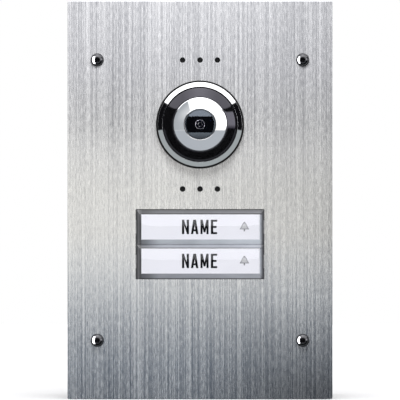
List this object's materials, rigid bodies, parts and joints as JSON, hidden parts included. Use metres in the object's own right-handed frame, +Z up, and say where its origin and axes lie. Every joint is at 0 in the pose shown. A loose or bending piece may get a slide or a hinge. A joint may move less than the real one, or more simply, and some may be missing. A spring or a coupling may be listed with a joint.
{
  "type": "door intercom panel",
  "caption": "Flush-mounted video door intercom panel: brushed steel plate, round camera eye, sound holes and two sprung name buttons over a wall box.",
  "frame": {"origin": "centre of the wall plane: the rear face of the foam seal behind the front plate, at the plate's centre", "axes": "+X to the viewer's right, +Y into the wall (the front faces -Y), +Z up"},
  "size_m": [0.12, 0.0579, 0.18],
  "materials": {
    "plate_steel": "vertically brushed stainless steel",
    "screw_steel": "polished stainless steel",
    "plain_steel": "plain stainless steel",
    "zinc_steel": "zinc-plated steel",
    "magnet_steel": "nickel-plated steel",
    "spring_steel": "drawn spring wire",
    "ring_chrome": "mirror chrome",
    "foam": "closed-cell foam",
    "black_rubber": "matt rubber",
    "box_plastic": "moulded, fine grain",
    "chassis_plastic": "moulded, fine grain",
    "black_plastic": "moulded, satin",
    "gloss_black": "infrared-transparent gloss black",
    "brass_insert": "turned and knurled",
    "window_dark": "smoked, convex",
    "lens_glass": "coated lens glass",
    "sensor_dark": "iridescent silicon under glass",
    "board_green": "solder-masked laminate",
    "led_clear": "clear tinted epoxy",
    "led_white": "white package with phosphor",
    "flex_amber": "polyimide film",
    "membrane": "woven acoustic mesh",
    "frame_plastic": "moulded",
    "cone_film": "pressed film",
    "mic_can": "drawn can",
    "lead_red": "insulated wire",
    "clear_cap": "clear moulded cover",
    "label_film": "printed translucent film",
    "carrier_white": "translucent white",
    "plunger_brown": "moulded",
    "switch_grey": "moulded, steel-topped",
    "chip_black": "moulded epoxy",
    "capacitor_blue": "shrink-sleeved can",
    "relay_orange": "moulded case",
    "terminal_green": "moulded",
    "trimmer_blue": "moulded",
    "rotor_white": "moulded"
  },
  "bodies": {
    "panel": {"front_plate": "plate_steel", "wall_seal": "foam", "weld_studs": "plain_steel", "stud_nuts": "zinc_steel", "plate_screws": "screw_steel", "screw_washers": "black_rubber", "flush_box": "box_plastic", "boss_inserts": "brass_insert", "cable_grommet": "black_rubber", "camera_gasket": "black_rubber", "camera_bezel": "ring_chrome", "ir_cover_ring": "gloss_black", "lens_bezel": "ring_chrome", "camera_window": "window_dark", "lens_barrel": "black_plastic", "lens_glass": "lens_glass", "lens_holder": "black_plastic", "image_sensor": "sensor_dark", "camera_board": "board_green", "camera_board_screws": "zinc_steel", "ir_led_board": "board_green", "ir_leds": "led_clear", "camera_nut": "zinc_steel", "camera_housing": "chassis_plastic", "camera_flex": "flex_amber", "chassis": "chassis_plastic", "chassis_seal": "foam", "speaker_membrane": "membrane", "speaker_frame": "frame_plastic", "speaker_cone": "cone_film", "speaker_magnet": "magnet_steel", "mic_membrane": "membrane", "mic_boot": "black_rubber", "microphone": "mic_can", "audio_leads": "lead_red", "button_tray": "chassis_plastic", "tray_screws": "zinc_steel", "switch_board": "board_green", "switch_bodies": "switch_grey", "label_leds": "led_white", "main_board": "board_green", "board_chips": "chip_black", "board_capacitors": "capacitor_blue", "door_relay": "relay_orange", "terminal_block": "terminal_green", "terminal_screws": "zinc_steel", "trimmer_body": "trimmer_blue", "rear_cover": "chassis_plastic", "cover_screws": "zinc_steel"},
    "upper_button": {"upper_cap": "clear_cap", "upper_label": "label_film", "upper_carrier": "carrier_white", "upper_plunger": "plunger_brown", "upper_springs": "spring_steel"},
    "lower_button": {"lower_cap": "clear_cap", "lower_label": "label_film", "lower_carrier": "carrier_white", "lower_plunger": "plunger_brown", "lower_springs": "spring_steel"},
    "trimmer": {"trimmer_rotor": "rotor_white"}
  },
  "joints": [
    {"name": "upper_button_press", "type": "slide", "parent": "panel", "child": "upper_button", "axis": [0, 1, 0], "range_m": [0, 0.0012], "stiffness_N_per_m": 900, "springref_m": -0.0008, "deforming": ["upper_springs"]},
    {"name": "lower_button_press", "type": "slide", "parent": "panel", "child": "lower_button", "axis": [0, 1, 0], "range_m": [0, 0.0012], "stiffness_N_per_m": 900, "springref_m": -0.0008, "deforming": ["lower_springs"]},
    {"name": "chime_trimmer", "type": "hinge", "parent": "panel", "child": "trimmer", "pos_m": [-0.026, 0.0215, 0.02], "axis": [0, 1, 0], "range_deg": [-135, 135]}
  ]
}
